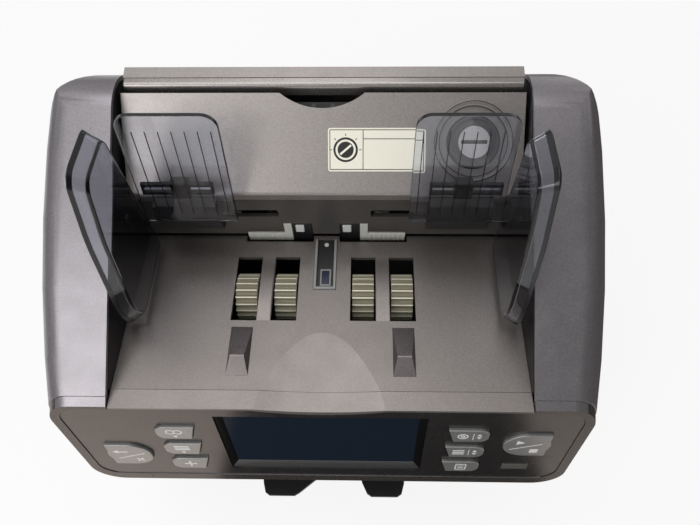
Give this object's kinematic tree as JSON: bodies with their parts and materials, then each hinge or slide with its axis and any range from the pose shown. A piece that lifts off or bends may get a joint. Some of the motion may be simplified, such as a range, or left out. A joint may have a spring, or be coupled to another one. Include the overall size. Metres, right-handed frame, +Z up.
{
  "type": "banknote counter",
  "caption": "Table-top banknote counter: sloping hopper with clear sliding guides, panel with screen and keys, stacking pocket below, hinged rear door.",
  "frame": {"origin": "middle of the footprint, on the table top", "axes": "+X to the right seen from the control panel, +Y to the rear, +Z up"},
  "size_m": [0.29, 0.2319, 0.2834],
  "materials": {
    "cover_grey": "metallic paint, satin",
    "hopper_grey": "metallic paint, satin",
    "panel_dark": "satin",
    "black_plastic": "fine grain",
    "knob_grey": "satin",
    "smoke_clear": "clear, smoke tint",
    "key_silver": "silver paint, satin",
    "screen_glass": "dark cover glass",
    "lens_green": "dark lens",
    "ivory_rubber": "ribbed rubber",
    "black_rubber": "matte",
    "steel": "ground",
    "black_steel": "black powder coat",
    "white_nylon": "natural nylon",
    "sensor_trim": "satin",
    "board_green": "solder mask",
    "motor_steel": "zinc plated",
    "pulley_metal": "turned"
  },
  "bodies": {
    "case": {"base_pan": "black_steel", "rubber_feet": "black_rubber", "case_screws": "steel", "left_side_cover": "cover_grey", "right_side_cover": "cover_grey", "left_frame_plate": "black_steel", "right_frame_plate": "black_steel", "front_bezel": "panel_dark", "control_panel": "panel_dark", "display_glass": "screen_glass", "status_lens": "lens_green", "key_board": "board_green", "hopper_front_lip": "hopper_grey", "hopper_floor": "hopper_grey", "lift_ramps": "hopper_grey", "sensor_frame": "sensor_trim", "hopper_sensor": "black_plastic", "hopper_back_wall": "hopper_grey", "wear_strips": "white_nylon", "edge_sensors": "black_plastic", "feed_cover": "hopper_grey", "pull_cup": "black_plastic", "retard_shaft": "steel", "retard_rollers": "black_rubber", "shaft_bearings": "steel", "drive_motor": "motor_steel", "drive_belt": "black_rubber", "image_sensors": "black_plastic", "main_board": "board_green", "pocket_plate": "black_plastic", "receiving_tray": "black_plastic", "hinge_rod": "steel", "rear_panel": "hopper_grey", "power_inlet": "black_plastic"},
    "left_guide": {"left_note_guide": "smoke_clear", "left_guide_carriage": "black_plastic"},
    "right_guide": {"right_note_guide": "smoke_clear", "right_guide_carriage": "black_plastic"},
    "door": {"rear_door": "hopper_grey", "door_rail": "hopper_grey"},
    "knob": {"adjust_knob": "knob_grey"},
    "switch": {"power_switch": "black_plastic"},
    "pickup_roller": {"pickup_shaft": "steel", "pickup_tyres": "ivory_rubber", "pickup_pulley": "pulley_metal"},
    "feed_roller": {"feed_shaft": "steel", "feed_tyres": "black_rubber", "feed_pulley": "pulley_metal"},
    "stacker": {"stacker_shaft": "steel", "stacker_wheels": "white_nylon", "stacker_pulley": "pulley_metal"},
    "motor_rotor": {"motor_pulley": "pulley_metal"},
    "cap_currency_key": {"currency_key": "key_silver"},
    "cap_batch_key": {"batch_key": "key_silver"},
    "cap_add_key": {"add_key": "key_silver"},
    "cap_mode_key": {"mode_key": "key_silver"},
    "cap_menu_key": {"menu_key": "key_silver"},
    "cap_report_key": {"report_key": "key_silver"},
    "cap_back_key": {"back_key": "key_silver"},
    "cap_start_key": {"start_key": "key_silver"}
  },
  "joints": [
    {"name": "left_guide_slide", "type": "slide", "parent": "case", "child": "left_guide", "axis": [1, 0, 0], "range_m": [0, 0.024]},
    {"name": "right_guide_slide", "type": "slide", "parent": "case", "child": "right_guide", "axis": [-1, 0, 0], "range_m": [0, 0.024]},
    {"name": "rear_door_hinge", "type": "hinge", "parent": "case", "child": "door", "pos_m": [0, 0.10806, 0.109], "axis": [-1, 0, 0], "range_deg": [0, 78]},
    {"name": "adjust_knob_turn", "type": "hinge", "parent": "case", "child": "knob", "pos_m": [0.0782, 0.05491, 0.22745], "axis": [0, -0.5358, 0.8443], "range_deg": [-150, 150]},
    {"name": "power_switch_rock", "type": "hinge", "parent": "case", "child": "switch", "pos_m": [-0.042, 0.11, 0.0365], "axis": [1, 0, 0], "range_deg": [0, 14]},
    {"name": "feed_roller_spin", "type": "hinge", "parent": "case", "child": "feed_roller", "pos_m": [0, 0.04794, 0.1524], "axis": [1, 0, 0], "continuous": true},
    {"name": "pickup_roller_spin", "type": "hinge", "parent": "case", "child": "pickup_roller", "pos_m": [0, -0.01144, 0.16856], "axis": [1, 0, 0], "continuous": true},
    {"name": "stacker_spin", "type": "hinge", "parent": "case", "child": "stacker", "pos_m": [0, -0.036, 0.062], "axis": [1, 0, 0], "continuous": true},
    {"name": "motor_spin", "type": "hinge", "parent": "case", "child": "motor_rotor", "pos_m": [0, 0.062, 0.0405], "axis": [1, 0, 0], "continuous": true},
    {"name": "currency_key_press", "type": "slide", "parent": "case", "child": "cap_currency_key", "axis": [0, 0.9521, -0.3057], "range_m": [0, 0.0012], "stiffness_N_per_m": 400},
    {"name": "batch_key_press", "type": "slide", "parent": "case", "child": "cap_batch_key", "axis": [0, 0.9521, -0.3057], "range_m": [0, 0.0012], "stiffness_N_per_m": 400},
    {"name": "add_key_press", "type": "slide", "parent": "case", "child": "cap_add_key", "axis": [0, 0.9521, -0.3057], "range_m": [0, 0.0012], "stiffness_N_per_m": 400},
    {"name": "mode_key_press", "type": "slide", "parent": "case", "child": "cap_mode_key", "axis": [0, 0.9521, -0.3057], "range_m": [0, 0.0012], "stiffness_N_per_m": 400},
    {"name": "menu_key_press", "type": "slide", "parent": "case", "child": "cap_menu_key", "axis": [0, 0.9521, -0.3057], "range_m": [0, 0.0012], "stiffness_N_per_m": 400},
    {"name": "report_key_press", "type": "slide", "parent": "case", "child": "cap_report_key", "axis": [0, 0.9521, -0.3057], "range_m": [0, 0.0012], "stiffness_N_per_m": 400},
    {"name": "back_key_press", "type": "slide", "parent": "case", "child": "cap_back_key", "axis": [0, 0.9521, -0.3057], "range_m": [0, 0.0012], "stiffness_N_per_m": 400},
    {"name": "start_key_press", "type": "slide", "parent": "case", "child": "cap_start_key", "axis": [0, 0.9521, -0.3057], "range_m": [0, 0.0012], "stiffness_N_per_m": 400}
  ],
  "couplings": [
    {"joint": "pickup_roller_spin", "follows": "feed_roller_spin", "ratio": 1},
    {"joint": "stacker_spin", "follows": "feed_roller_spin", "ratio": 0.66667},
    {"joint": "motor_spin", "follows": "feed_roller_spin", "ratio": 1.3333}
  ]
}
